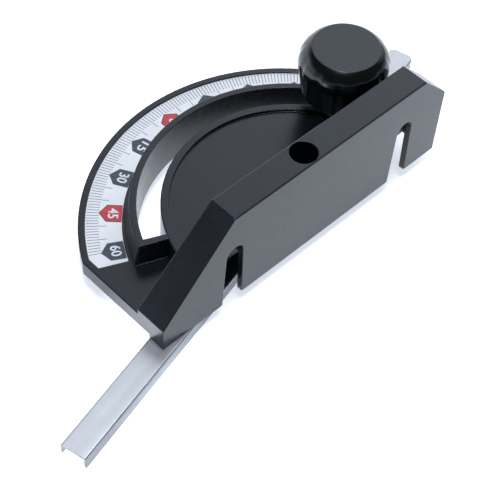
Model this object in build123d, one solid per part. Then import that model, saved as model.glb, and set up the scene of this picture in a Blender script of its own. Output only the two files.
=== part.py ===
from build123d import *
import math

# A table-saw mitre gauge: a moulded head with a fence along its front and an arc scale behind it,
# a folded channel bar under the head, and a knob whose bolt clamps the bar through the arc slot.
# Millimetres. Z is the axis of the scale and of the bore in the fence's top, up is +Z, and z = 0 is
# the head's underside. X runs along the fence, the fence's working face looks to -Y, the scale is on +Y.
# Angles on the scale are counted from +Y, positive towards -X.

# fence
fence_front_y = -8.6
fence_back_y_top = 8.6
fence_back_y_foot = 11.2
fence_top_z = 65.9
fence_left_top_x = -56.2
fence_slope_foot_z = 15.2
fence_left_end_x = -103.3
fence_left_foot_y = 2.0
fence_right_x = 105.2
fence_corner_cut = 19.9
fence_wall = 3.6
fence_edge_round = 0.9
fence_back_foot_z = 7.6
fence_rib = 2.4
fence_rib_foot_z = 8.0
fence_rib_places = (-78.0, -34.0, 34.0)

# notches in the fence's lower edge
notch_centres = (-54.9, 73.0)
notch_foot_width = 14.2
notch_top_width = 11.6
notch_top_z = 42.9
notch_foot_round = 1.6

# base plate, its rim and the label's recess
plate_radius = 116.5
plate_side_x = 103.3
plate_top_z = 11.9
plate_skin_z = 8.4
plate_foot_z = 2.8
rim_wall = 3.5
label_outer_radius = 112.8
label_inner_radius = 93.0
label_half_angle = 65.3
label_side_x = 99.4
label_bed_z = 10.7
label_thickness = 0.25
label_gap = 0.12

# ring wall, disc and arc slot
raised_top_z = 26.6
ring_outer_top_radius = 89.0
ring_outer_foot_radius = 92.0
slot_outer_radius = 85.2
slot_inner_radius = 72.6
slot_left_end = 65.2
slot_right_end = 65.8
slot_end_wall_angle = 2.6
disc_rim_inner_radius = 68.3
disc_floor_z = 25.0
disc_skin = 3.0
disc_wall = 3.4
edge_round = 0.5

# pivot bore in the fence and its boss
bore_radius = 7.68
bore_seat_z = 6.0
screw_hole_radius = 4.3
boss_radius = 11.0

# ribs under the disc
rib_thickness = 2.4
rib_foot_z = 2.0
rib_angles = (-75, -50, -25, 0, 25, 50, 75)
rib_ring_radii = (24.0, 46.0)

# clamp bolt, which stands in the slot near its right end
bolt_radius = 3.95
bolt_pitch_circle = 77.75
bolt_angle = -62.6
bolt_head_across_flats = 13.0
bolt_head_height = 5.3
bolt_top_z = 45.0
bolt_tip_chamfer = 0.8

# bar: a channel with its open side down
bar_width = 15.8
bar_height = 7.8
bar_sheet = 1.2
bar_fold_radius = 1.5
bar_top_z = -0.1
bar_direction = 13.6
bar_length_to_near_end = 250.3
bar_length_to_far_end = 84.9
bar_far_corner_radius = 4.0
bar_hole_radius = 4.2

# washers under the knob
washer_gap = 0.05
flat_washer_radius = 11.0
flat_washer_thickness = 1.6
washer_hole_radius = 4.2
spring_washer_radius = 7.4
spring_washer_thickness = 2.0
spring_washer_split = 1.5

# knob
knob_top_z = 70.0
knob_flat_radius = 19.0
knob_max_radius = 25.4
knob_max_radius_z = 57.0
knob_lower_radius = 22.4
knob_lower_z = 38.4
knob_lower_round = 1.6
knob_hub_radius = 9.5
knob_flutes = 12
knob_flute_cutter_radius = 4.6
knob_flute_depth = 0.9
knob_flute_turn = 10.0
insert_outer_radius = 6.0
insert_bore_radius = 4.0
insert_length = 16.0
insert_bore_depth_past_insert = 3.0


def on_scale(radius, angle):
    """The X and Y of a point on the scale."""
    turn = math.radians(angle)
    return (-radius * math.sin(turn), radius * math.cos(turn))


bolt_x, bolt_y = on_scale(bolt_pitch_circle, bolt_angle)
flat_washer_z = raised_top_z + washer_gap
spring_washer_z = flat_washer_z + flat_washer_thickness + washer_gap
knob_foot_z = spring_washer_z + spring_washer_thickness + washer_gap


def upright(radius, low_z, high_z, x=0.0, y=0.0):
    """A vertical cylinder."""
    return Pos(x, y, (low_z + high_z) / 2) * Cylinder(radius, high_z - low_z)


def block(x0, x1, y0, y1, z0, z1):
    """A box from its two corners."""
    return Pos((x0 + x1) / 2, (y0 + y1) / 2, (z0 + z1) / 2) * Box(x1 - x0, y1 - y0, z1 - z0)


def scale_sector(inner, outer, from_angle, to_angle, low_z, high_z):
    """A piece of a flat ring between two angles of the scale."""
    middle = (from_angle + to_angle) / 2
    a = on_scale(inner, from_angle)
    b = on_scale(outer, from_angle)
    c = on_scale(outer, middle)
    d = on_scale(outer, to_angle)
    e = on_scale(inner, to_angle)
    f = on_scale(inner, middle)
    outline = Line(a, b) + ThreePointArc(b, c, d) + Line(d, e) + ThreePointArc(e, f, a)
    return Pos(0, 0, low_z) * extrude(make_face(outline), high_z - low_z)


def fence_outline(inset):
    """The fence seen from the front, with its top and ends moved in by the inset."""
    slope = math.hypot(fence_left_end_x - fence_left_top_x, fence_top_z - fence_slope_foot_z)
    slope_run = (fence_left_top_x - fence_left_end_x) / slope
    slope_rise = (fence_top_z - fence_slope_foot_z) / slope
    top = fence_top_z - inset
    shift = inset / slope_rise
    run_per_rise = slope_run / slope_rise
    top_left = fence_left_top_x + shift - inset * run_per_rise
    end_x = fence_left_end_x + inset
    end_z = fence_slope_foot_z + (inset - shift) / run_per_rise
    right = fence_right_x - inset
    cut = fence_corner_cut - inset * (2 - math.sqrt(2))
    return [
        (end_x, 0),
        (end_x, end_z),
        (top_left, top),
        (right - cut, top),
        (right, top - cut),
        (right, 0),
    ]


def upright_slab(points, y0, y1):
    """An outline in X and Z, drawn out from y0 to y1."""
    face = make_face(Polyline(*[(x, z) for x, z in points], close=True))
    return Pos(0, y1, 0) * Rot(90, 0, 0) * extrude(face, y1 - y0)


def back_cutter(offset):
    """Everything behind the fence's leaning back face, moved by the offset."""
    points = [
        (fence_back_y_foot + offset, 0),
        (fence_back_y_top + offset, fence_top_z),
        (fence_back_y_top + offset, fence_top_z + 10),
        (fence_back_y_foot + 20, fence_top_z + 10),
        (fence_back_y_foot + 20, -1),
        (fence_back_y_foot + offset, -1),
    ]
    face = make_face(Polyline(*points, close=True))
    width = fence_right_x - fence_left_end_x + 20
    return Pos(fence_left_end_x - 10, 0, 0) * Rot(0, 0, 90) * Rot(90, 0, 0) * extrude(face, width)


def fence_solid():
    """The fence as a full block with its edges broken."""
    body = upright_slab(fence_outline(0.0), fence_front_y, fence_back_y_foot + 2)
    body = body - back_cutter(0.0)
    long_edges = body.edges().filter_by(Axis.X).group_by(Axis.Z)[-1]
    body = fillet(long_edges, fence_edge_round)
    corner = body.edges().filter_by(Axis.Y).group_by(Axis.X)[-1].sort_by(Axis.Z)[-1]
    body = fillet(corner, 3.0)
    under_end = block(fence_left_end_x - 1, fence_left_end_x + fence_wall + 1,
                      fence_left_foot_y, fence_back_y_foot + 3, -1, plate_foot_z)
    return body - under_end


def fence_hollow():
    """The space inside the fence, open below."""
    points = fence_outline(fence_wall)
    points[0] = (points[0][0], -1)
    points[-1] = (points[-1][0], -1)
    space = upright_slab(points, fence_front_y + fence_wall, fence_back_y_foot + 2)
    space = space - back_cutter(-fence_wall)
    for x in fence_rib_places:
        rib = block(x - fence_rib / 2, x + fence_rib / 2, -20, 20, fence_rib_foot_z, fence_top_z)
        space = space - rib
    below_back_wall = block(fence_left_end_x + fence_wall, fence_right_x - fence_wall,
                            0, fence_back_y_foot + 1, -1, fence_back_foot_z)
    space = space + below_back_wall
    return space - upright(boss_radius, 0, fence_top_z)


def notch(x):
    """One notch through the fence's front wall, open below, with a round top."""
    arch = notch_top_width / 2
    spring_z = notch_top_z - arch
    foot = notch_foot_width / 2
    corner = notch_foot_round
    sides = Polyline((x - arch, spring_z), (x - foot, 0), (x - foot, -1), (x + foot, -1),
                     (x + foot, 0), (x + arch, spring_z))
    top = ThreePointArc((x + arch, spring_z), (x, notch_top_z), (x - arch, spring_z))
    face = make_face(sides + top)
    front = fence_front_y - 1
    back = fence_front_y + fence_wall + 0.5
    cut = Pos(0, back, 0) * Rot(90, 0, 0) * extrude(face, back - front)
    for side in (-1, 1):
        edge = x + side * foot
        low = block(min(edge, edge + side * corner), max(edge, edge + side * corner),
                    front, back, -0.5, corner)
        low = low - Pos(edge + side * corner, 0, corner) * Rot(90, 0, 0) * Cylinder(corner, 60)
        cut = cut + low
    return cut


def plate_outline(inset):
    """The base plate seen from above: a circle cut off at both sides and along the fence."""
    radius = plate_radius - inset
    side = plate_side_x - inset
    corner_y = math.sqrt(radius * radius - side * side)
    front = 0.0
    right = Line((side, front), (side, corner_y))
    arc = ThreePointArc((side, corner_y), (0, radius), (-side, corner_y))
    left = Line((-side, corner_y), (-side, front))
    return make_face(right + arc + left + Line((-side, front), (side, front)))


def plate_solid():
    """The base plate with the skirt round its rim."""
    body = Pos(0, 0, plate_foot_z) * extrude(plate_outline(0.0), plate_top_z - plate_foot_z)
    rim = body.edges().group_by(Axis.Z)[-1].filter_by(lambda edge: edge.center().Y > 5)
    body = fillet(rim, edge_round)
    hollow = Pos(0, 0, plate_foot_z - 1) * extrude(plate_outline(rim_wall), plate_skin_z - plate_foot_z + 1)
    return body - hollow


def ring_wall():
    """The raised wall outside the arc slot, with its sloping outer side."""
    full_height = upright(ring_outer_top_radius, 0, raised_top_z)
    slope_height = raised_top_z - plate_skin_z
    slope = Pos(0, 0, plate_skin_z + slope_height / 2) * Cone(
        ring_outer_foot_radius, ring_outer_top_radius, slope_height)
    ring = full_height + slope
    ring = fillet(ring.edges().filter_by(GeomType.CIRCLE).group_by(Axis.Z)[-1], edge_round)
    wedge = scale_sector(2.0, 130.0, -(slot_right_end + slot_end_wall_angle),
                         slot_left_end + slot_end_wall_angle, -1, raised_top_z + 1)
    return ring & wedge


def disc_solid():
    """The raised disc inside the slot, with its rim and its sunk face."""
    disc = upright(slot_inner_radius, 0, raised_top_z)
    disc = fillet(disc.edges().filter_by(GeomType.CIRCLE).group_by(Axis.Z)[-1], edge_round)
    disc = disc - upright(disc_rim_inner_radius, disc_floor_z, raised_top_z + 1)
    return disc & block(-120, 120, 0, 120, -1, raised_top_z + 1)


def disc_hollow():
    """The space under the disc, open below, with the ribs left standing in it."""
    space = upright(slot_inner_radius - disc_wall, -1, disc_floor_z - disc_skin)
    space = space & block(-120, 120, fence_back_y_foot - 0.5, 120, -2, disc_floor_z)
    for angle in rib_angles:
        rib = block(-rib_thickness / 2, rib_thickness / 2, 0, slot_inner_radius,
                    rib_foot_z, disc_floor_z)
        space = space - Rot(0, 0, angle) * rib
    for radius in rib_ring_radii:
        ring = upright(radius + rib_thickness / 2, rib_foot_z, disc_floor_z)
        ring = ring - upright(radius - rib_thickness / 2, rib_foot_z - 1, disc_floor_z + 1)
        space = space - ring
    return space


def head_body():
    """The head: fence, base plate, ring wall and disc in one moulding."""
    ring = ring_wall()
    slot = scale_sector(slot_inner_radius, slot_outer_radius, -slot_right_end, slot_left_end,
                        -2, raised_top_z + 2)
    core = upright(slot_inner_radius, -1, raised_top_z + 2)
    body = plate_solid() - upright(slot_inner_radius - 1, 0, plate_top_z + 1)
    body = body + (ring - core) + disc_solid()
    body = body - slot
    body = body - disc_hollow()
    body = body - block(-130, 130, -40, 0.5, -5, fence_top_z)
    body = body + fence_solid()
    body = body - fence_hollow()
    bed = scale_sector(label_inner_radius, label_outer_radius, -label_half_angle, label_half_angle,
                       label_bed_z, plate_top_z + 1)
    bed = bed & block(-label_side_x, label_side_x, 0, 130, 0, fence_top_z)
    body = body - bed
    body = body - upright(bore_radius, bore_seat_z, fence_top_z + 1)
    body = body - upright(screw_hole_radius, -1, bore_seat_z + 1)
    for x in notch_centres:
        body = body - notch(x)
    return body


def scale_label():
    """The printed label in its recess."""
    label = scale_sector(label_inner_radius + label_gap, label_outer_radius - label_gap,
                         -label_half_angle + 0.1, label_half_angle - 0.1,
                         label_bed_z, label_bed_z + label_thickness)
    side = label_side_x - label_gap
    return label & block(-side, side, 0, 130, 0, fence_top_z)


def bar():
    """The channel bar, drawn with the bolt at its origin and then laid in its direction."""
    half = bar_width / 2
    low = bar_top_z - bar_height
    outer = block(-half, half, -1, 1, low, bar_top_z)
    outer = fillet(outer.edges().filter_by(Axis.Y).group_by(Axis.Z)[-1], bar_fold_radius)
    inner = block(-half + bar_sheet, half - bar_sheet, -2, 2, low - 1, bar_top_z - bar_sheet)
    inner = fillet(inner.edges().filter_by(Axis.Y).group_by(Axis.Z)[-1], bar_fold_radius - bar_sheet)
    section = (outer - inner).faces().sort_by(Axis.Y)[0]
    length = bar_length_to_near_end + bar_length_to_far_end
    channel = extrude(section, length, dir=(0, 1, 0))
    channel = Rot(0, 0, -90) * Pos(0, 1, 0) * channel
    channel = Pos(-bar_length_to_near_end, 0, 0) * channel
    for side in (-1, 1):
        corner_x = bar_length_to_far_end - bar_far_corner_radius
        corner_y = side * (half - bar_far_corner_radius)
        y0, y1 = sorted((corner_y, side * (half + 1)))
        square = block(corner_x, bar_length_to_far_end + 1, y0, y1, low - 1, bar_top_z + 1)
        square = square - upright(bar_far_corner_radius, low - 2, bar_top_z + 2, corner_x, corner_y)
        channel = channel - square
    channel = channel - upright(bar_hole_radius, low - 1, bar_top_z + 1)
    channel = channel - upright(bar_hole_radius, low - 1, bar_top_z + 1, -bolt_pitch_circle)
    return Pos(bolt_x, bolt_y, 0) * Rot(0, 0, bar_direction) * channel


def clamp_bolt():
    """The hexagon-headed bolt, its head held between the channel's legs."""
    head_top = bar_top_z - bar_sheet
    head = extrude(RegularPolygon(bolt_head_across_flats / 2, 6, major_radius=False), bolt_head_height)
    head = Pos(0, 0, head_top - bolt_head_height) * Rot(0, 0, bar_direction) * head
    shank = upright(bolt_radius, head_top - 0.5, bolt_top_z)
    tip = shank.edges().filter_by(GeomType.CIRCLE).sort_by(Axis.Z)[-1]
    shank = chamfer(tip, bolt_tip_chamfer)
    return Pos(bolt_x, bolt_y, 0) * (head + shank)


def flat_washer():
    """The plain washer that bridges the slot."""
    low = flat_washer_z
    high = low + flat_washer_thickness
    ring = upright(flat_washer_radius, low, high) - upright(washer_hole_radius, low - 1, high + 1)
    return Pos(bolt_x, bolt_y, 0) * ring


def spring_washer():
    """The split washer under the knob's hub."""
    low = spring_washer_z
    high = low + spring_washer_thickness
    ring = upright(spring_washer_radius, low, high) - upright(washer_hole_radius, low - 1, high + 1)
    half = spring_washer_split / 2
    split = block(0, spring_washer_radius + 1, -half, half, low - 1, high + 1)
    return Pos(bolt_x, bolt_y, 0) * (ring - split)


def knob_profile():
    """Half of the knob's section, from its axis outwards."""
    top = Line((0, knob_top_z), (knob_flat_radius, knob_top_z))
    shoulder = ThreePointArc(
        (knob_flat_radius, knob_top_z),
        (knob_max_radius - 1.35, knob_top_z - 5.4),
        (knob_max_radius, knob_max_radius_z))
    side = Line((knob_max_radius, knob_max_radius_z), (knob_lower_radius, knob_lower_z))
    under = Polyline((knob_lower_radius, knob_lower_z), (knob_hub_radius, knob_lower_z),
                     (knob_hub_radius, knob_foot_z), (0, knob_foot_z), (0, knob_top_z))
    return Plane.XZ * make_face(top + shoulder + side + under)


def knob_body():
    """The moulded knob with shallow flutes round its side."""
    body = revolve(knob_profile(), Axis.Z)
    lower = [edge for edge in body.edges().filter_by(GeomType.CIRCLE)
             if abs(edge.center().Z - knob_lower_z) < 0.01 and edge.radius > knob_hub_radius + 1]
    body = fillet(lower, knob_lower_round)
    reach = knob_max_radius + knob_flute_cutter_radius - knob_flute_depth
    for step in range(knob_flutes):
        turn = knob_flute_turn + 360.0 * step / knob_flutes
        cutter = upright(knob_flute_cutter_radius, knob_lower_z - 2, knob_top_z + 2, reach)
        body = body - Rot(0, 0, turn) * cutter
    depth = insert_length + insert_bore_depth_past_insert
    body = body - upright(insert_outer_radius, knob_foot_z - 1, knob_foot_z + insert_length)
    body = body - upright(insert_bore_radius + 0.5, knob_foot_z, knob_foot_z + depth)
    return Pos(bolt_x, bolt_y, 0) * body


def knob_insert():
    """The threaded sleeve moulded into the knob."""
    low = knob_foot_z
    high = low + insert_length
    sleeve = upright(insert_outer_radius, low, high) - upright(insert_bore_radius, low - 1, high + 1)
    return Pos(bolt_x, bolt_y, 0) * sleeve


nodes = {
    "head_body": head_body,
    "scale_label": scale_label,
    "bar": bar,
    "clamp_bolt": clamp_bolt,
    "flat_washer": flat_washer,
    "spring_washer": spring_washer,
    "knob_body": knob_body,
    "knob_insert": knob_insert,
}
for name, make in nodes.items():
    shape = make()
    box = shape.bounding_box()
    print(name, "solids", len(shape.solids()), "volume", round(shape.volume / 1000, 2), "cm3",
          [round(v, 2) for v in (*box.min, *box.max)])
    export_step(shape, f"parts/{name}.step")
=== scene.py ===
import math

import bmesh
import bpy
from mathutils import Euler, Matrix, Vector


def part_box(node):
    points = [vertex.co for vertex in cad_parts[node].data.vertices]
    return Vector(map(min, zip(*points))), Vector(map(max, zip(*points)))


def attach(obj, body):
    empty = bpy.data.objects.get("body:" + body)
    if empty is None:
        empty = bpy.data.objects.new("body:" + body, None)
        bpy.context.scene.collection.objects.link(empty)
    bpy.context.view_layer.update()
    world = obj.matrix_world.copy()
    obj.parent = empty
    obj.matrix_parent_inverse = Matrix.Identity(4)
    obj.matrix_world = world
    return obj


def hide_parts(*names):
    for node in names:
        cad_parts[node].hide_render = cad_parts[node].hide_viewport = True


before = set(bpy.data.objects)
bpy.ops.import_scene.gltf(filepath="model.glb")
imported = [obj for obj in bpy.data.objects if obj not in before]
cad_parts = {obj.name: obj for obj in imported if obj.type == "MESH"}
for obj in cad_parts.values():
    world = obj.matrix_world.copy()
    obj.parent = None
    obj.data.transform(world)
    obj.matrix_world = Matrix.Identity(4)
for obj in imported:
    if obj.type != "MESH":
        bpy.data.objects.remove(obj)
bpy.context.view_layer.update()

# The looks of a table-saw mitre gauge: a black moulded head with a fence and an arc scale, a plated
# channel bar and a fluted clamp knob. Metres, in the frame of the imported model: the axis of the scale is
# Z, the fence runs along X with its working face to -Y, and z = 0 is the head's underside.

mm = 0.001
turn = 2 * math.pi

# scale: the label's face and what is printed on it
label_face_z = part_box("scale_label")[1].z
ink_height = 0.03 * mm
ink_sink = 0.02 * mm
scale_reach = 60
tick_outer = 112.2 * mm
short_tick_inner = 105.4 * mm
long_tick_inner = 101.3 * mm
tick_width = 0.36 * mm
long_tick_step = 5
marker_step = 15
red_marker_step = 3
first_red_marker = 1
marker_tip = 105.9 * mm
marker_shoulder = 101.6 * mm
marker_foot = 93.2 * mm
marker_half_width = 5.9 * mm
marker_shoulder_round = 0.9 * mm
marker_tip_round = 0.25 * mm
marker_outline = 0.55 * mm
numeral_height = 5.9 * mm
numeral_digit_width = 3.3 * mm
numeral_digit_gap = 0.5 * mm
numeral_middle = 97.9 * mm
numeral_boldness = 0.022
numeral_top = 3.2 * ink_height

# ring wall, whose outer face has a coarser finish
ring_wall_low = 88.4 * mm
ring_wall_high = 92.3 * mm
ring_wall_start_y = 14 * mm
ring_coarse_top_z = 26.0 * mm
ring_foot_z = 12.4 * mm
ring_coarse_roughness = 0.55

# knob
knob_low, knob_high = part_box("knob_body")
bolt_low, bolt_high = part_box("clamp_bolt")
axis_x = (knob_low.x + knob_high.x) / 2
axis_y = (knob_low.y + knob_high.y) / 2
knob_top_z = knob_high.z
knob_hub_foot_z = knob_low.z
knob_crown_radii = (4 * mm, 10 * mm, 15 * mm, 18 * mm)
knob_crown_round = 0.35 * mm
knob_flat_radius = 19.0 * mm
knob_shoulder_inset = 1.35 * mm
knob_shoulder_drop = 5.4 * mm
knob_max_radius = 25.35 * mm
knob_max_z = 57.0 * mm
knob_lower_radius = 22.4 * mm
knob_lower_z = 38.4 * mm
knob_lower_round = 1.6 * mm
knob_lower_flute_loss = 0.6
knob_foot_ring_width = 4 * mm
knob_hub_radius = 9.5 * mm
knob_hub_fillet = 0.8 * mm
knob_hub_round = 0.4 * mm
knob_sleeve_radius = 6.05 * mm
knob_well_depth = 18 * mm
knob_flutes = 12
knob_flute_turn = math.radians(6)
knob_flute_half_angle = math.radians(5.8)
knob_flute_depth = 0.75 * mm
knob_flute_start_drop = 1.0 * mm
knob_flute_lip_reach = 1.25
knob_flute_lip_width = 0.16
knob_flute_lip_share = 0.05
knob_steps_a_flute = 24
knob_shoulder_steps = 16
knob_side_steps = 12
knob_lower_steps = 6
knob_sharp_angle = 50

# clamp bolt
bolt_radius = 3.93 * mm
bolt_points_around = 24
bolt_sharp_angle = 35
thread_pitch = 1.25 * mm
thread_depth = 0.72 * mm
thread_top_z = bolt_high.z
thread_top_gap = 1.2 * mm
hex_low_z = bolt_low.z
hex_height = 5.3 * mm
hex_across_flats = 12.98 * mm
hex_corner_ratio = 1.155
hex_corner_lean = 1.1
hex_chamfer = ((0.9 * mm, 0.0), (0.45 * mm, 0.45 * mm), (0.0, 0.95 * mm))
hex_points_around = 48
bar_direction = math.radians(13.6)
shank_sink = 0.3 * mm
shank_foot_z = hex_low_z + hex_height - shank_sink

# patterns: grain, ink mesh and rolling lines are finer than this on the real thing, and are drawn as
# coarse as they need to be to show; most of a noise's values lie in the band
noise_band = {"From Min": 0.3, "From Max": 0.7}
bevel_samples = 6
rolling_stretch = 33
turning_stretch = 10

# camera and light
camera_place = (-0.35864, -0.29264, 0.57003)
camera_turn = (38.117, -2.913, -44.217)
camera_lens = 96.97
sensor_width = 36.0
camera_clip_start = 0.01
lamp_colour = "ebf2fd"
overhead_place = (-0.12, -0.06, 1.5)
overhead_size = 0.5
overhead_power = 16.5
front_glow = 0.74
left_glow = 2.5
right_glow = 0.40
box_aim = (0.75, 0.33, 0.57)
box_edge = 0.72
box_top_light = 1.9
air_light = 0.09
wall_light = 1.6
horizon_light = 0.6
floor_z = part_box("bar")[0].z
floor_half_size = 3.0
floor_thickness = 4 * mm


def linear(code, alpha=1.0):
    """An sRGB hex colour as linear RGBA."""
    out = []
    for place in (0, 2, 4):
        value = int(code[place:place + 2], 16) / 255
        out.append(value / 12.92 if value <= 0.04045 else ((value + 0.055) / 1.055) ** 2.4)
    return (*out, alpha)


def add(tree, kind, inputs=None, **settings):
    """Adds a node, sets its attributes, and sets or links its inputs. A node given as an input
    stands for its first output."""
    node = tree.nodes.new(kind)
    for name, value in settings.items():
        setattr(node, name, value)
    for key, value in (inputs or {}).items():
        socket = node.inputs[key]
        if isinstance(value, bpy.types.Node):
            value = value.outputs[0]
        if isinstance(value, bpy.types.NodeSocket):
            tree.links.new(value, socket)
        else:
            socket.default_value = value
    return node


def new_material(name, **constants):
    """A material with its shader's own sockets set. Returns the material, its tree and its shader."""
    made = bpy.data.materials.new(name)
    made.use_nodes = True
    tree = made.node_tree
    shader = tree.nodes["Principled BSDF"]
    for key, value in constants.items():
        shader.inputs[key.replace("_", " ")].default_value = value
    return made, tree, shader


def finish_surface(tree, shader, tone, dull, relief):
    """A shader's colour, roughness and relief. The colour is a mixer's third output."""
    tree.links.new(tone.outputs[2], shader.inputs["Base Color"])
    tree.links.new(dull.outputs[0], shader.inputs["Roughness"])
    tree.links.new(relief.outputs[0], shader.inputs["Normal"])


def edge_amount(tree, radius):
    """How near a surface is to a sharp edge, from 0 on the flat to 1 on the edge."""
    rounded = add(tree, "ShaderNodeBevel", {"Radius": radius}, samples=bevel_samples)
    flat = add(tree, "ShaderNodeNewGeometry").outputs["True Normal"]
    same = add(tree, "ShaderNodeVectorMath", {0: rounded, 1: flat}, operation="DOT_PRODUCT")
    return add(tree, "ShaderNodeMapRange",
               {"Value": same.outputs["Value"], "From Min": 0.995, "From Max": 0.80})


def ring_wall_amount(tree, place):
    """1 on the ring's outer wall and 0 elsewhere, from the radius, the height and the side of the fence."""
    parts = add(tree, "ShaderNodeSeparateXYZ", {"Vector": place}).outputs
    flat = add(tree, "ShaderNodeCombineXYZ", {"X": parts["X"], "Y": parts["Y"]})
    reach = add(tree, "ShaderNodeVectorMath", {0: flat}, operation="LENGTH").outputs["Value"]
    amount = 1.0
    for value, test, limit in (
            (reach, "GREATER_THAN", ring_wall_low), (reach, "LESS_THAN", ring_wall_high),
            (parts["Y"], "GREATER_THAN", ring_wall_start_y),
            (parts["Z"], "GREATER_THAN", ring_foot_z), (parts["Z"], "LESS_THAN", ring_coarse_top_z)):
        passed = add(tree, "ShaderNodeMath", {0: value, 1: limit}, operation=test)
        amount = add(tree, "ShaderNodeMath", {0: amount, 1: passed}, operation="MULTIPLY")
    return amount


def black_abs_moulding():
    """ABS, injection moulded in a finely spark-eroded tool: a satin near-black with a faint grain,
    and a duller, coarser face round the outside of the ring wall."""
    made, tree, shader = new_material("black_abs_moulding", IOR=1.48)
    place = add(tree, "ShaderNodeTexCoord").outputs["Object"]
    cloud = add(tree, "ShaderNodeTexNoise", {"Vector": place, "Scale": 1 / (28 * mm), "Detail": 3.0})
    grain = add(tree, "ShaderNodeTexNoise", {"Vector": place, "Scale": 1 / (0.7 * mm)})
    rub = add(tree, "ShaderNodeTexNoise",
              {"Vector": place, "Scale": 1 / (5 * mm), "Detail": 4.0, "Roughness": 0.6})
    depth = add(tree, "ShaderNodeMapRange", {"Value": cloud, "From Min": 0.35, "From Max": 0.65})
    tone = add(tree, "ShaderNodeMix", {0: depth, 6: linear("090d14"), 7: linear("0f151e")},
               data_type="RGBA")
    pale = add(tree, "ShaderNodeMapRange",
               {"Value": grain, "From Min": 0.5, "From Max": 0.8, "To Max": 0.25})
    tone = add(tree, "ShaderNodeMix", {0: pale, 6: tone.outputs[2], 7: linear("1b222c")},
               data_type="RGBA")
    rubbed = add(tree, "ShaderNodeMapRange",
                 {"Value": rub, "From Min": 0.4, "From Max": 0.7, "To Max": 0.25})
    worn = add(tree, "ShaderNodeMath", {0: edge_amount(tree, 0.45 * mm), 1: rubbed}, operation="MULTIPLY")
    tone = add(tree, "ShaderNodeMix", {0: worn, 6: tone.outputs[2], 7: linear("4a515a")},
               data_type="RGBA")
    satin = add(tree, "ShaderNodeMapRange", {"Value": cloud, **noise_band, "To Min": 0.23, "To Max": 0.28})
    handled = add(tree, "ShaderNodeMapRange",
                  {"Value": rub, "From Min": 0.4, "From Max": 0.8, "To Max": 0.05})
    smooth_face = add(tree, "ShaderNodeMath", {0: satin, 1: handled}, operation="ADD")
    coarse = add(tree, "ShaderNodeMath",
                 {0: ring_wall_amount(tree, place), 1: ring_coarse_roughness}, operation="MULTIPLY")
    dull = add(tree, "ShaderNodeMath", {0: smooth_face, 1: coarse}, operation="ADD")
    rounded = add(tree, "ShaderNodeBevel", {"Radius": 0.8 * mm}, samples=bevel_samples)
    relief = add(tree, "ShaderNodeBump",
                 {"Height": grain, "Distance": 0.012 * mm, "Strength": 0.25, "Normal": rounded})
    finish_surface(tree, shader, tone, dull, relief)
    return made


def printed_vinyl():
    """Vinyl film printed white and laid in a recess: an even cool white with a soft gloss."""
    made, tree, shader = new_material("printed_vinyl", IOR=1.5)
    place = add(tree, "ShaderNodeTexCoord").outputs["Object"]
    cloud = add(tree, "ShaderNodeTexNoise", {"Vector": place, "Scale": 1 / (18 * mm)})
    fleck = add(tree, "ShaderNodeTexNoise", {"Vector": place, "Scale": 1 / (0.5 * mm)})
    depth = add(tree, "ShaderNodeMapRange", {"Value": cloud, **noise_band})
    tone = add(tree, "ShaderNodeMix", {0: depth, 6: linear("e4e5e7"), 7: linear("eeeeef")},
               data_type="RGBA")
    thin = add(tree, "ShaderNodeMapRange",
               {"Value": fleck, "From Min": 0.55, "From Max": 0.8, "To Max": 0.12})
    tone = add(tree, "ShaderNodeMix", {0: thin, 6: tone.outputs[2], 7: linear("b9c0cc")},
               data_type="RGBA")
    dull = add(tree, "ShaderNodeMapRange", {"Value": cloud, **noise_band, "To Min": 0.33, "To Max": 0.42})
    relief = add(tree, "ShaderNodeBump", {"Height": fleck, "Distance": 0.006 * mm, "Strength": 0.3})
    finish_surface(tree, shader, tone, dull, relief)
    return made


def screen_ink(name, tone_code, thin_code):
    """Screen ink on vinyl: a flat dense colour that thins a little in places."""
    made, tree, shader = new_material(name, IOR=1.48)
    place = add(tree, "ShaderNodeTexCoord").outputs["Object"]
    patch = add(tree, "ShaderNodeTexNoise", {"Vector": place, "Scale": 1 / (2.2 * mm), "Detail": 3.0})
    mesh_mark = add(tree, "ShaderNodeTexNoise", {"Vector": place, "Scale": 1 / (0.35 * mm)})
    thin = add(tree, "ShaderNodeMapRange",
               {"Value": patch, "From Min": 0.45, "From Max": 0.75, "To Max": 0.6})
    tone = add(tree, "ShaderNodeMix", {0: thin, 6: linear(tone_code), 7: linear(thin_code)},
               data_type="RGBA")
    dull = add(tree, "ShaderNodeMapRange", {"Value": patch, **noise_band, "To Min": 0.38, "To Max": 0.5})
    relief = add(tree, "ShaderNodeBump", {"Height": mesh_mark, "Distance": 0.004 * mm, "Strength": 0.3})
    finish_surface(tree, shader, tone, dull, relief)
    return made


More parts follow.
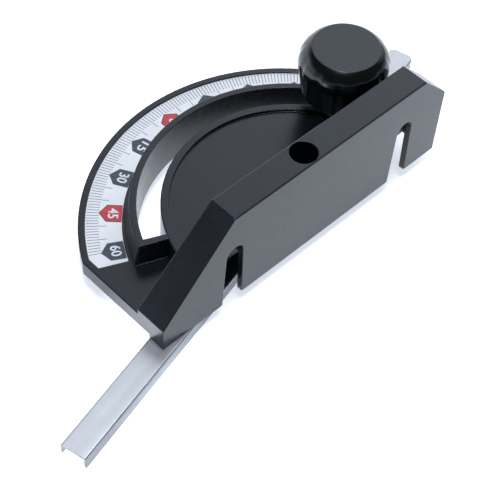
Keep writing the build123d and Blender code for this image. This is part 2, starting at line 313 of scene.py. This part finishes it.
def zinc_plated_sheet():
    """Rolled steel sheet with bright zinc plate: pale, with faint rolling lines along the bar and small
    marks, and painted shade on the folded sides, which are coloured greyer the less they face up."""
    made, tree, shader = new_material("zinc_plated_sheet", Metallic=1.0)
    place = add(tree, "ShaderNodeTexCoord").outputs["Object"]
    along = add(tree, "ShaderNodeMapping", {
        "Vector": place, "Rotation": (0, 0, bar_direction), "Scale": (rolling_stretch, 1, 1)},
        vector_type="TEXTURE")
    lines = add(tree, "ShaderNodeTexNoise",
                {"Vector": along, "Scale": 1 / (0.5 * mm), "Detail": 3.0, "Roughness": 0.6})
    bands = add(tree, "ShaderNodeTexNoise", {"Vector": along, "Scale": 1 / (3.5 * mm)})
    cloud = add(tree, "ShaderNodeTexNoise", {"Vector": place, "Scale": 1 / (14 * mm), "Detail": 3.0})
    spots = add(tree, "ShaderNodeTexNoise", {"Vector": place, "Scale": 1 / (1.4 * mm), "Detail": 4.0})
    band = add(tree, "ShaderNodeMapRange", {"Value": bands, **noise_band})
    tone = add(tree, "ShaderNodeMix", {0: band, 6: linear("bcbdbf"), 7: linear("c8c9cb")},
               data_type="RGBA")
    spotted = add(tree, "ShaderNodeMapRange",
                  {"Value": spots, "From Min": 0.60, "From Max": 0.78, "To Max": 0.25})
    tone = add(tree, "ShaderNodeMix", {0: spotted, 6: tone.outputs[2], 7: linear("a2a6ad")},
               data_type="RGBA")
    # painted shade: faces that turn away from straight up are coloured greyer, to darken the bar's folded
    # sides
    facing = add(tree, "ShaderNodeNewGeometry").outputs["True Normal"]
    upright = add(tree, "ShaderNodeSeparateXYZ", {"Vector": facing}).outputs["Z"]
    side = add(tree, "ShaderNodeMapRange",
               {"Value": upright, "From Min": 0.7, "From Max": 0.2, "To Max": 0.85})
    tone = add(tree, "ShaderNodeMix", {0: side, 6: tone.outputs[2], 7: linear("85888c")},
               data_type="RGBA")
    rolled = add(tree, "ShaderNodeMapRange", {"Value": lines, **noise_band, "To Min": 0.36, "To Max": 0.41})
    clouded = add(tree, "ShaderNodeMapRange",
                  {"Value": cloud, "From Min": 0.35, "From Max": 0.7, "To Max": 0.08})
    dull = add(tree, "ShaderNodeMath", {0: rolled, 1: clouded}, operation="ADD")
    rounded = add(tree, "ShaderNodeBevel", {"Radius": 0.25 * mm}, samples=bevel_samples)
    relief = add(tree, "ShaderNodeBump",
                 {"Height": lines, "Distance": 0.01 * mm, "Strength": 0.2, "Normal": rounded})
    finish_surface(tree, shader, tone, dull, relief)
    return made


def zinc_plated_steel():
    """Turned or cold-headed steel with zinc plate: a greyer metal with a fine matt bloom."""
    made, tree, shader = new_material("zinc_plated_steel", Metallic=1.0)
    place = add(tree, "ShaderNodeTexCoord").outputs["Object"]
    cloud = add(tree, "ShaderNodeTexNoise", {"Vector": place, "Scale": 1 / (4 * mm), "Detail": 3.0})
    grain = add(tree, "ShaderNodeTexNoise", {"Vector": place, "Scale": 1 / (0.35 * mm), "Detail": 3.0})
    depth = add(tree, "ShaderNodeMapRange", {"Value": cloud, **noise_band})
    tone = add(tree, "ShaderNodeMix", {0: depth, 6: linear("a7abb0"), 7: linear("c2c5c9")},
               data_type="RGBA")
    edge = edge_amount(tree, 0.3 * mm)
    tone = add(tree, "ShaderNodeMix", {0: edge, 6: tone.outputs[2], 7: linear("dfe2e6")},
               data_type="RGBA")
    dull = add(tree, "ShaderNodeMapRange", {"Value": grain, **noise_band, "To Min": 0.26, "To Max": 0.42})
    rounded = add(tree, "ShaderNodeBevel", {"Radius": 0.2 * mm}, samples=bevel_samples)
    relief = add(tree, "ShaderNodeBump",
                 {"Height": grain, "Distance": 0.01 * mm, "Strength": 0.35, "Normal": rounded})
    finish_surface(tree, shader, tone, dull, relief)
    return made


def turned_brass():
    """Turned brass: warm yellow metal with fine lines left by the tool."""
    made, tree, shader = new_material("turned_brass", Metallic=1.0)
    place = add(tree, "ShaderNodeTexCoord").outputs["Object"]
    around = add(tree, "ShaderNodeMapping",
                 {"Vector": place, "Scale": (turning_stretch, turning_stretch, 1)}, vector_type="TEXTURE")
    rings = add(tree, "ShaderNodeTexNoise", {"Vector": around, "Scale": 1 / (0.3 * mm)})
    cloud = add(tree, "ShaderNodeTexNoise", {"Vector": place, "Scale": 1 / (3 * mm)})
    depth = add(tree, "ShaderNodeMapRange", {"Value": cloud, **noise_band})
    tone = add(tree, "ShaderNodeMix", {0: depth, 6: linear("c9a764"), 7: linear("dcc07f")},
               data_type="RGBA")
    dull = add(tree, "ShaderNodeMapRange", {"Value": rings, **noise_band, "To Min": 0.2, "To Max": 0.34})
    relief = add(tree, "ShaderNodeBump", {"Height": rings, "Distance": 0.02 * mm, "Strength": 0.4})
    finish_surface(tree, shader, tone, dull, relief)
    return made


def phenolic_knob():
    """Phenolic moulding: a jet-black gloss on the grip, with the crown left satin by the mould."""
    made, tree, shader = new_material("phenolic_knob", IOR=1.55)
    place = add(tree, "ShaderNodeTexCoord").outputs["Object"]
    height = add(tree, "ShaderNodeSeparateXYZ", {"Vector": place}).outputs["Z"]
    crown = add(tree, "ShaderNodeMapRange", {
        "Value": height, "From Min": knob_top_z - 0.25 * mm, "From Max": knob_top_z - 0.05 * mm})
    cloud = add(tree, "ShaderNodeTexNoise", {"Vector": place, "Scale": 1 / (9 * mm), "Detail": 3.0})
    grain = add(tree, "ShaderNodeTexNoise", {"Vector": place, "Scale": 1 / (0.5 * mm)})
    depth = add(tree, "ShaderNodeMapRange", {"Value": cloud, **noise_band})
    tone = add(tree, "ShaderNodeMix", {0: depth, 6: linear("050607"), 7: linear("08090b")},
               data_type="RGBA")
    tone = add(tree, "ShaderNodeMix", {0: crown, 6: tone.outputs[2], 7: linear("151c22")},
               data_type="RGBA")
    gloss = add(tree, "ShaderNodeMapRange", {"Value": cloud, **noise_band, "To Min": 0.12, "To Max": 0.18})
    satin = add(tree, "ShaderNodeMapRange", {"Value": grain, **noise_band, "To Min": 0.34, "To Max": 0.46})
    more = add(tree, "ShaderNodeMath", {0: satin, 1: gloss}, operation="SUBTRACT")
    lift = add(tree, "ShaderNodeMath", {0: crown, 1: more}, operation="MULTIPLY")
    dull = add(tree, "ShaderNodeMath", {0: gloss, 1: lift}, operation="ADD")
    crown_grain = add(tree, "ShaderNodeMath", {0: grain, 1: crown}, operation="MULTIPLY")
    relief = add(tree, "ShaderNodeBump", {"Height": crown_grain, "Distance": 0.02 * mm, "Strength": 0.3})
    finish_surface(tree, shader, tone, dull, relief)
    return made


def floor_card():
    """White card that glows faintly as on a light table: brighter towards the right, and brightest
    in a strip beside the head's left side, which lights that side."""
    made, tree, shader = new_material("floor_card", Roughness=0.9)
    place = add(tree, "ShaderNodeTexCoord").outputs["Object"]
    cloud = add(tree, "ShaderNodeTexNoise", {"Vector": place, "Scale": 1 / (300 * mm)})
    tone = add(tree, "ShaderNodeMix", {0: cloud, 6: linear("f4f5f6"), 7: linear("fafafa")},
               data_type="RGBA")
    parts = add(tree, "ShaderNodeSeparateXYZ", {"Vector": place}).outputs
    left = add(tree, "ShaderNodeMapRange", {"Value": parts["X"], "From Min": -0.085, "From Max": -0.115})
    behind = add(tree, "ShaderNodeMapRange", {"Value": parts["Y"], "From Min": -0.03, "From Max": 0.0})
    near_end = add(tree, "ShaderNodeMapRange", {
        "Value": parts["Y"], "From Min": 0.02, "From Max": 0.045, "To Min": 1.0, "To Max": 0.0})
    strip = add(tree, "ShaderNodeMath", {0: left, 1: behind}, operation="MULTIPLY")
    strip = add(tree, "ShaderNodeMath", {0: strip, 1: near_end}, operation="MULTIPLY")
    main = add(tree, "ShaderNodeMapRange", {"Value": strip, "To Min": front_glow, "To Max": left_glow})
    right = add(tree, "ShaderNodeMapRange",
                {"Value": parts["X"], "From Min": 0.1, "From Max": 0.45, "To Max": right_glow})
    glow = add(tree, "ShaderNodeMath", {0: main, 1: right}, operation="ADD")
    tree.links.new(tone.outputs[2], shader.inputs["Base Color"])
    tree.links.new(glow.outputs[0], shader.inputs["Emission Strength"])
    shader.inputs["Emission Color"].default_value = linear(lamp_colour)
    return made


def finished(name, mesh, material, body):
    """A mesh made an object that rides on a body and takes its finish from a slot."""
    made = bpy.data.objects.new(name, mesh)
    bpy.context.scene.collection.objects.link(made)
    if not mesh.materials:
        mesh.materials.append(material)
    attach(made, body)
    return made


def mesh_from(name, build):
    """A mesh built by a function that fills a bmesh."""
    made = bpy.data.meshes.new(name)
    form = bmesh.new()
    build(form)
    bmesh.ops.remove_doubles(form, verts=form.verts, dist=1e-7)
    bmesh.ops.recalc_face_normals(form, faces=form.faces)
    form.to_mesh(made)
    form.free()
    return made


def smooth(mesh, sharp_angle):
    """Smooth shading that keeps edges sharper than the angle."""
    mesh.polygons.foreach_set("use_smooth", [True] * len(mesh.polygons))
    mesh.set_sharp_from_angle(angle=math.radians(sharp_angle))


def slab_from_outline(form, points, low, high):
    """A flat plate between two heights with the given outline."""
    lower = [form.verts.new((x, y, low)) for x, y in points]
    upper = [form.verts.new((x, y, high)) for x, y in points]
    form.faces.new(upper)
    form.faces.new(lower[::-1])
    count = len(points)
    for i in range(count):
        j = (i + 1) % count
        form.faces.new((lower[i], lower[j], upper[j], upper[i]))


def rounded_corner(corner, before, after, radius, steps=6):
    """Points of an arc that replaces one corner of an outline."""
    back = (before - corner).normalized()
    ahead = (after - corner).normalized()
    half = back.angle(ahead) / 2
    reach = radius / math.tan(half)
    centre = corner + (back + ahead).normalized() * (radius / math.sin(half))
    start = corner + back * reach - centre
    end = corner + ahead * reach - centre
    out = []
    for i in range(steps + 1):
        mix = start.lerp(end, i / steps).normalized() * radius
        out.append(centre + mix)
    return out


def marker_outline_points(inset):
    """The five-sided marker at angle 0, its point outwards, moved in by the inset."""
    half = marker_half_width - inset
    lean = Vector((marker_half_width, marker_tip - marker_shoulder)).normalized()
    tip = marker_tip - inset / lean.x
    shoulder = tip - half * lean.y / lean.x
    foot = marker_foot
    corners = [Vector((-half, foot)), Vector((half, foot)), Vector((half, shoulder)),
               Vector((0, tip)), Vector((-half, shoulder))]
    out = corners[:2]
    out += rounded_corner(corners[2], corners[1], corners[3], marker_shoulder_round)
    out += rounded_corner(corners[3], corners[2], corners[4], marker_tip_round)
    out += rounded_corner(corners[4], corners[3], corners[0], marker_shoulder_round)
    return [(p.x, p.y) for p in out]


def marker_plate(name, inset, lift):
    """One marker as a thin printed plate."""
    low = label_face_z - ink_sink
    high = label_face_z + ink_height + lift
    return mesh_from(name, lambda form: slab_from_outline(form, marker_outline_points(inset), low, high))


def tree_with_inputs(name, sockets):
    """A geometry tree with named inputs and one geometry output."""
    tree = bpy.data.node_groups.new(name, "GeometryNodeTree")
    for label, kind in sockets:
        tree.interface.new_socket(label, in_out="INPUT", socket_type=kind)
    tree.interface.new_socket("Geometry", in_out="OUTPUT", socket_type="NodeSocketGeometry")
    entry = tree.nodes.new("NodeGroupInput")
    leave = tree.nodes.new("NodeGroupOutput")
    return tree, entry, leave


def end_tree(tree, leave, geometry, material):
    """The tree's last two steps: instances made real, and the material set."""
    real = add(tree, "GeometryNodeRealizeInstances", {"Geometry": geometry})
    coated = add(tree, "GeometryNodeSetMaterial", {"Geometry": real, "Material": material})
    tree.links.new(coated.outputs[0], leave.inputs["Geometry"])


def grown(name, tree, values):
    """The mesh a geometry tree makes with the given values for its named inputs."""
    carrier = bpy.data.objects.new(name + "_carrier", bpy.data.meshes.new(name + "_carrier"))
    bpy.context.scene.collection.objects.link(carrier)
    live = carrier.modifiers.new("grow", "NODES")
    live.node_group = tree
    for item in tree.interface.items_tree:
        if item.in_out == "INPUT" and item.name in values:
            live[item.identifier] = values[item.name]
    graph = bpy.context.evaluated_depsgraph_get()
    mesh = bpy.data.meshes.new_from_object(carrier.evaluated_get(graph))
    mesh.name = name
    carrier.modifiers.remove(live)
    bpy.data.objects.remove(carrier)
    return mesh


def tick_tree(material):
    """Ticks a degree apart round the scale, every fifth one longer."""
    tree, entry, leave = tree_with_inputs("scale_tick_tree", [
        ("Count", "NodeSocketInt"), ("First angle", "NodeSocketFloat"), ("Outer radius", "NodeSocketFloat"),
        ("Short length", "NodeSocketFloat"), ("Long length", "NodeSocketFloat"),
        ("Width", "NodeSocketFloat"), ("Thickness", "NodeSocketFloat"), ("Height", "NodeSocketFloat")])
    given = entry.outputs
    index = add(tree, "GeometryNodeInputIndex")
    degrees = add(tree, "ShaderNodeMath", {0: given["First angle"], 1: index}, operation="ADD")
    angle = add(tree, "ShaderNodeMath", {0: degrees}, operation="RADIANS")
    past_long = add(tree, "ShaderNodeMath", {0: index, 1: float(long_tick_step)}, operation="MODULO")
    is_long = add(tree, "ShaderNodeMath", {0: past_long, 1: 0.5}, operation="LESS_THAN")
    extra = add(tree, "ShaderNodeMath",
                {0: given["Long length"], 1: given["Short length"]}, operation="SUBTRACT")
    added = add(tree, "ShaderNodeMath", {0: extra, 1: is_long}, operation="MULTIPLY")
    length = add(tree, "ShaderNodeMath", {0: given["Short length"], 1: added}, operation="ADD")
    half = add(tree, "ShaderNodeMath", {0: length, 1: 0.5}, operation="MULTIPLY")
    radius = add(tree, "ShaderNodeMath", {0: given["Outer radius"], 1: half}, operation="SUBTRACT")
    sine = add(tree, "ShaderNodeMath", {0: angle}, operation="SINE")
    cosine = add(tree, "ShaderNodeMath", {0: angle}, operation="COSINE")
    across = add(tree, "ShaderNodeMath", {0: radius, 1: sine}, operation="MULTIPLY")
    x = add(tree, "ShaderNodeMath", {0: across, 1: -1.0}, operation="MULTIPLY")
    y = add(tree, "ShaderNodeMath", {0: radius, 1: cosine}, operation="MULTIPLY")
    place = add(tree, "ShaderNodeCombineXYZ", {"X": x, "Y": y, "Z": given["Height"]})
    points = add(tree, "GeometryNodePoints", {"Count": given["Count"], "Position": place})
    size = add(tree, "ShaderNodeCombineXYZ", {"X": given["Width"], "Y": 1.0, "Z": given["Thickness"]})
    mark = add(tree, "GeometryNodeMeshCube", {"Size": size})
    aim = add(tree, "ShaderNodeCombineXYZ", {"Z": angle})
    stretch = add(tree, "ShaderNodeCombineXYZ", {"X": 1.0, "Y": length, "Z": 1.0})
    spread = add(tree, "GeometryNodeInstanceOnPoints", {
        "Points": points, "Instance": mark, "Rotation": aim, "Scale": stretch})
    end_tree(tree, leave, spread, material)
    return tree


def marker_tree(material):
    """Markers a fixed step apart round the scale: all of them, or only every third, the red ones."""
    tree, entry, leave = tree_with_inputs("scale_marker_tree", [
        ("Count", "NodeSocketInt"), ("First angle", "NodeSocketFloat"), ("Step", "NodeSocketFloat"),
        ("Red ones", "NodeSocketBool"), ("All", "NodeSocketBool"), ("Marker", "NodeSocketObject")])
    given = entry.outputs
    index = add(tree, "GeometryNodeInputIndex")
    along = add(tree, "ShaderNodeMath", {0: given["Step"], 1: index}, operation="MULTIPLY")
    degrees = add(tree, "ShaderNodeMath", {0: given["First angle"], 1: along}, operation="ADD")
    angle = add(tree, "ShaderNodeMath", {0: degrees}, operation="RADIANS")
    past_red = add(tree, "ShaderNodeMath", {0: index, 1: float(red_marker_step)}, operation="MODULO")
    is_red = add(tree, "ShaderNodeMath", {0: past_red, 1: float(first_red_marker)}, operation="COMPARE")
    wanted = add(tree, "ShaderNodeMath", {0: is_red, 1: given["Red ones"]}, operation="COMPARE")
    chosen = add(tree, "ShaderNodeMath", {0: wanted, 1: given["All"]}, operation="MAXIMUM")
    points = add(tree, "GeometryNodePoints", {"Count": given["Count"]})
    shape = add(tree, "GeometryNodeObjectInfo", {"Object": given["Marker"]}).outputs["Geometry"]
    aim = add(tree, "ShaderNodeCombineXYZ", {"Z": angle})
    spread = add(tree, "GeometryNodeInstanceOnPoints", {
        "Points": points, "Selection": chosen, "Instance": shape, "Rotation": aim})
    end_tree(tree, leave, spread, material)
    return tree


def printed_ticks(material):
    """The degree ticks as thin ink on the label."""
    thickness = ink_sink + ink_height
    mesh = grown("scale_ticks", tick_tree(material), {
        "Count": 2 * scale_reach + 1,
        "First angle": float(-scale_reach),
        "Outer radius": tick_outer,
        "Short length": tick_outer - short_tick_inner,
        "Long length": tick_outer - long_tick_inner,
        "Width": tick_width,
        "Thickness": thickness,
        "Height": label_face_z - ink_sink + thickness / 2,
    })
    return finished("scale_ticks", mesh, material, "head")


def printed_markers(name, material, inset, lift, red, every):
    """One colour of markers as thin ink on the label: every marker, or only the red ones."""
    pattern = bpy.data.objects.new(name + "_pattern", marker_plate(name + "_pattern", inset, lift))
    bpy.context.scene.collection.objects.link(pattern)
    mesh = grown(name, marker_tree(material), {
        "Count": 2 * scale_reach // marker_step + 1,
        "First angle": float(-scale_reach),
        "Step": float(marker_step),
        "Red ones": red,
        "All": every,
        "Marker": pattern,
    })
    bpy.data.objects.remove(pattern)
    return finished(name, mesh, material, "head")


def numeral_mesh(text):
    """A number as a thin flat mesh, its middle at the origin, as wide and high as the scale's print."""
    curve = bpy.data.curves.new("numeral", "FONT")
    curve.body = text
    curve.offset = numeral_boldness
    curve.resolution_u = 4
    carrier = bpy.data.objects.new("numeral", curve)
    bpy.context.scene.collection.objects.link(carrier)
    graph = bpy.context.evaluated_depsgraph_get()
    mesh = bpy.data.meshes.new_from_object(carrier.evaluated_get(graph))
    bpy.data.objects.remove(carrier)
    xs = [v.co.x for v in mesh.vertices]
    ys = [v.co.y for v in mesh.vertices]
    width = len(text) * numeral_digit_width + (len(text) - 1) * numeral_digit_gap
    across = width / (max(xs) - min(xs))
    up = numeral_height / (max(ys) - min(ys))
    middle = Vector(((max(xs) + min(xs)) / 2, (max(ys) + min(ys)) / 2, 0))
    mesh.transform(Matrix.Diagonal((across, up, 1, 1)) @ Matrix.Translation(-middle))
    return mesh


def printed_numerals(material):
    """The white numbers on the markers, tops towards the pivot."""
    form = bmesh.new()
    low = label_face_z + ink_height
    high = label_face_z + numeral_top
    for degrees in range(-scale_reach, scale_reach + 1, marker_step):
        flat = numeral_mesh(str(abs(degrees)))
        angle = math.radians(degrees)
        place = Matrix.Rotation(angle, 4, "Z") @ Matrix.Translation((0, numeral_middle, low))
        flat.transform(place @ Matrix.Rotation(math.pi, 4, "Z"))
        start = len(form.faces)
        form.from_mesh(flat)
        form.faces.ensure_lookup_table()
        fresh = form.faces[start:]
        grown_faces = bmesh.ops.extrude_face_region(form, geom=fresh)["geom"]
        moved = [v for v in grown_faces if isinstance(v, bmesh.types.BMVert)]
        bmesh.ops.translate(form, verts=moved, vec=(0, 0, high - low))
        bpy.data.meshes.remove(flat)
    bmesh.ops.recalc_face_normals(form, faces=form.faces)
    mesh = bpy.data.meshes.new("scale_numerals")
    form.to_mesh(mesh)
    form.free()
    return finished("scale_numerals", mesh, material, "head")


def arc_points(first, middle, last, steps):
    """Points of the arc through three (radius, height) points, without the last."""
    ax, ay = first
    bx, by = middle
    cx, cy = last
    d = 2 * (ax * (by - cy) + bx * (cy - ay) + cx * (ay - by))
    a2, b2, c2 = ax * ax + ay * ay, bx * bx + by * by, cx * cx + cy * cy
    ux = (a2 * (by - cy) + b2 * (cy - ay) + c2 * (ay - by)) / d
    uy = (a2 * (cx - bx) + b2 * (ax - cx) + c2 * (bx - ax)) / d
    radius = math.hypot(ax - ux, ay - uy)
    start = math.atan2(ay - uy, ax - ux)
    end = math.atan2(cy - uy, cx - ux)
    return [(ux + radius * math.cos(start + (end - start) * i / steps),
             uy + radius * math.sin(start + (end - start) * i / steps)) for i in range(steps)]


def knob_profile():
    """(radius, height, share of the flute) from near the crown's middle down to the hub's foot."""
    top = knob_top_z
    foot = knob_hub_foot_z
    out = [(radius, top, 0.0) for radius in knob_crown_radii]
    out.append((knob_flat_radius - knob_crown_round, top, 0.0))
    out.append((knob_flat_radius - 0.4 * knob_crown_round, top - 0.12 * knob_crown_round, 0.0))
    crown_edge = (knob_flat_radius, top - 0.4 * knob_crown_round)
    middle = (knob_max_radius - knob_shoulder_inset, top - knob_shoulder_drop)
    flute_start_z = top - knob_flute_start_drop
    for radius, height in arc_points(crown_edge, middle, (knob_max_radius, knob_max_z), knob_shoulder_steps):
        share = min(1.0, max(0.0, (flute_start_z - height) / (flute_start_z - knob_max_z)))
        out.append((radius, height, share))
    side_foot_z = knob_lower_z + knob_lower_round
    for i in range(knob_side_steps + 1):
        mix = i / knob_side_steps
        radius = knob_max_radius + (knob_lower_radius - knob_max_radius) * mix
        out.append((radius, knob_max_z + (side_foot_z - knob_max_z) * mix, 1.0))
    for i in range(1, knob_lower_steps + 1):
        mix = i / knob_lower_steps
        bend = math.radians(90 * mix)
        inward = knob_lower_round * (1 - math.cos(bend))
        down = knob_lower_round * math.sin(bend)
        out.append((knob_lower_radius - inward, side_foot_z - down, 1.0 - knob_lower_flute_loss * mix))
    for radius, height in (
            (knob_hub_radius + knob_foot_ring_width, knob_lower_z),
            (knob_hub_radius + knob_hub_fillet, knob_lower_z),
            (knob_hub_radius, knob_lower_z - knob_hub_fillet),
            (knob_hub_radius, foot + knob_hub_round),
            (knob_hub_radius - knob_hub_round, foot),
            (knob_sleeve_radius, foot)):
        out.append((radius, height, 0.0))
    return out


def flute_cut(angle):
    """How deep the flutes cut at an angle, as a share of their depth: a scoop with softened lips."""
    spacing = turn / knob_flutes
    offset = (angle - knob_flute_turn + spacing / 2) % spacing - spacing / 2
    across = abs(offset) / knob_flute_half_angle
    if across >= knob_flute_lip_reach:
        return 0.0
    scoop = max(0.0, 1 - across * across)
    lip = math.exp(-((across - 1.0) / knob_flute_lip_width) ** 2) * knob_flute_lip_share
    return scoop + lip


def upright_point(form, radius, angle, height):
    """A point at a radius, an angle and a height about the bolt's axis."""
    return form.verts.new((axis_x + radius * math.cos(angle), axis_y + radius * math.sin(angle), height))


def knob():
    """The fluted knob as one closed skin, with a blind well where the sleeve fills its middle."""
    profile = knob_profile()
    around = knob_flutes * knob_steps_a_flute

    def build(form):
        rings = []
        for radius, height, share in profile:
            ring = []
            for i in range(around):
                angle = turn * i / around
                cut_back = radius - knob_flute_depth * share * flute_cut(angle)
                ring.append(upright_point(form, cut_back, angle, height))
            rings.append(ring)
        crown = form.verts.new((axis_x, axis_y, knob_top_z))
        well = form.verts.new((axis_x, axis_y, knob_hub_foot_z + knob_well_depth))
        well_ring = [form.verts.new((v.co.x, v.co.y, well.co.z)) for v in rings[-1]]
        rings.append(well_ring)
        for a, b in zip(rings, rings[1:]):
            for i in range(around):
                j = (i + 1) % around
                form.faces.new((a[i], b[i], b[j], a[j]))
        for i in range(around):
            j = (i + 1) % around
            form.faces.new((crown, rings[0][i], rings[0][j]))
            form.faces.new((well, well_ring[j], well_ring[i]))

    mesh = mesh_from("knob", build)
    smooth(mesh, knob_sharp_angle)
    return mesh


def bolt():
    """The clamp bolt: a rolled thread up its shank and a chamfered hexagon head. The thread's lowest
    turn is left open: its edge starts inside the head and climbs a pitch, within the bar's hole."""
    around = bolt_points_around
    flank = (0.0, 0.3, 0.5, 0.8)
    depth = (thread_depth, thread_depth, 0.0, 0.0)
    runs = int((thread_top_z - thread_top_gap - shank_foot_z) / thread_pitch)

    def build(form):
        rows = []
        for run in range(runs):
            for share, cut in zip(flank, depth):
                row = []
                for i in range(around):
                    angle = turn * i / around
                    height = shank_foot_z + (run + share + i / around) * thread_pitch
                    row.append(upright_point(form, bolt_radius - cut, angle, height))
                rows.append(row)
        for lower, upper in zip(rows, rows[1:]):
            for i in range(around - 1):
                form.faces.new((lower[i], lower[i + 1], upper[i + 1], upper[i]))
        a_turn = len(flank)
        for k in range(len(rows) - a_turn - 1):
            form.faces.new((rows[k][around - 1], rows[k + a_turn][0],
                            rows[k + a_turn + 1][0], rows[k + 1][around - 1]))
        tip_radius = bolt_radius - thread_depth
        tip = form.verts.new((axis_x, axis_y, thread_top_z))
        rim = [upright_point(form, tip_radius, turn * i / around, thread_top_z) for i in range(around)]
        for i in range(around):
            j = (i + 1) % around
            form.faces.new((tip, rim[i], rim[j]))
        edge = rows[-1]
        for i in range(around - 1):
            form.faces.new((edge[i], edge[i + 1], rim[i + 1], rim[i]))
        seam = [rows[k][around - 1] for k in range(len(rows) - a_turn - 1, len(rows))]
        form.faces.new([*seam, rim[around - 1], rim[0], edge[0]])
        add_hexagon(form)

    mesh = mesh_from("clamp_bolt_threaded", build)
    smooth(mesh, bolt_sharp_angle)
    return mesh


def add_hexagon(form):
    """The bolt's hexagon head with its corners chamfered below, one ring of points for each height."""
    around = hex_points_around
    inner = hex_across_flats / 2
    rings = []
    for rise, cut in ((hex_height, 0.0), *hex_chamfer):
        ring = []
        for i in range(around):
            angle = turn * i / around
            side = (angle + math.pi / 6) % (math.pi / 3) - math.pi / 6
            reach = min(inner / math.cos(side), inner * hex_corner_ratio - cut * hex_corner_lean)
            ring.append(upright_point(form, reach, angle + bar_direction + math.pi / 2, hex_low_z + rise))
        rings.append(ring)
    for a, b in zip(rings, rings[1:]):
        for i in range(around):
            j = (i + 1) % around
            form.faces.new((a[i], a[j], b[j], b[i]))
    form.faces.new(rings[0])
    form.faces.new(rings[-1][::-1])


def coat_node(name, material):
    """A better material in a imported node's slot."""
    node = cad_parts[name]
    node.data.materials.clear()
    node.data.materials.append(material)


def floor():
    """A plain pale card under the object."""
    size = floor_half_size
    corners = [(-size, -size), (size, -size), (size, size), (-size, size)]
    low = floor_z - floor_thickness
    mesh = mesh_from("floor", lambda form: slab_from_outline(form, corners, low, floor_z))
    made = bpy.data.objects.new("floor", mesh)
    bpy.context.scene.collection.objects.link(made)
    mesh.materials.append(floor_card())


def soft_light(name, place, aim, size, power):
    """A square soft box that faces a point."""
    lamp = bpy.data.lights.new(name, "AREA")
    lamp.size = size
    lamp.energy = power
    lamp.color = linear(lamp_colour)[:3]
    made = bpy.data.objects.new(name, lamp)
    made.location = place
    made.rotation_euler = (Vector(aim) - Vector(place)).to_track_quat("-Z", "Y").to_euler()
    bpy.context.scene.collection.objects.link(made)


def sky():
    """Studio air: a large soft box high up behind on the right, a white wall low down behind, a low white
    band all round at the horizon, and dim elsewhere."""
    world = bpy.data.worlds.new("studio")
    bpy.context.scene.world = world
    world.use_nodes = True
    tree = world.node_tree
    back = tree.nodes["Background"]
    aim = add(tree, "ShaderNodeTexCoord").outputs["Generated"]
    near_box = add(tree, "ShaderNodeVectorMath", {0: aim, 1: box_aim}, operation="DOT_PRODUCT")
    box_light = add(tree, "ShaderNodeMapRange", {
        "Value": near_box.outputs["Value"], "From Min": box_edge,
        "To Min": air_light, "To Max": box_top_light})
    parts = add(tree, "ShaderNodeSeparateXYZ", {"Vector": aim}).outputs
    behind = add(tree, "ShaderNodeMapRange", {"Value": parts["Y"], "From Max": 0.9, "To Max": wall_light})
    low = add(tree, "ShaderNodeMapRange", {"Value": parts["Z"], "From Min": 0.5, "From Max": 0.2})
    wall = add(tree, "ShaderNodeMath", {0: behind, 1: low}, operation="MULTIPLY")
    level = add(tree, "ShaderNodeMath", {0: box_light, 1: wall}, operation="MAXIMUM")
    round_about = add(tree, "ShaderNodeMapRange",
                      {"Value": parts["Z"], "From Min": 0.26, "From Max": 0.12, "To Max": horizon_light})
    level = add(tree, "ShaderNodeMath", {0: level, 1: round_about}, operation="MAXIMUM")
    tree.links.new(level.outputs[0], back.inputs["Strength"])
    back.inputs["Color"].default_value = linear(lamp_colour)


def camera():
    """The camera, at the angle from which the gauge is shown."""
    lens = bpy.data.cameras.new("camera")
    lens.sensor_width = sensor_width
    lens.lens = camera_lens
    lens.clip_start = camera_clip_start
    made = bpy.data.objects.new("camera", lens)
    made.location = camera_place
    made.rotation_euler = Euler([math.radians(v) for v in camera_turn], "XYZ")
    bpy.context.scene.collection.objects.link(made)
    bpy.context.scene.camera = made


camera()
sky()
floor()
soft_light("overhead", overhead_place, (0, 0, 0), overhead_size, overhead_power)
bpy.context.scene.view_settings.view_transform = "Standard"

moulding = black_abs_moulding()
vinyl = printed_vinyl()
dark_ink = screen_ink("dark_screen_ink", "3a4049", "555c67")
tick_ink = screen_ink("tick_screen_ink", "5b626d", "7a828e")
red_ink = screen_ink("red_screen_ink", "c0343c", "cf5054")
white_ink = screen_ink("white_screen_ink", "eef1f6", "dfe4ec")
sheet_plate = zinc_plated_sheet()
bolt_plate = zinc_plated_steel()
brass = turned_brass()
phenolic = phenolic_knob()

coat_node("head_body", moulding)
coat_node("scale_label", vinyl)
coat_node("bar", sheet_plate)
coat_node("flat_washer", bolt_plate)
coat_node("spring_washer", bolt_plate)
coat_node("knob_insert", brass)

printed_ticks(tick_ink)
printed_markers("dark_markers", dark_ink, inset=0.0, lift=0.0, red=False, every=True)
printed_markers("red_markers", red_ink, inset=marker_outline, lift=ink_height, red=True, every=False)
printed_numerals(white_ink)

fluted_knob = finished("fluted_knob", knob(), phenolic, "knob")
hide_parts("knob_body")
threaded_bolt = finished("threaded_bolt", bolt(), bolt_plate, "bar")
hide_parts("clamp_bolt")
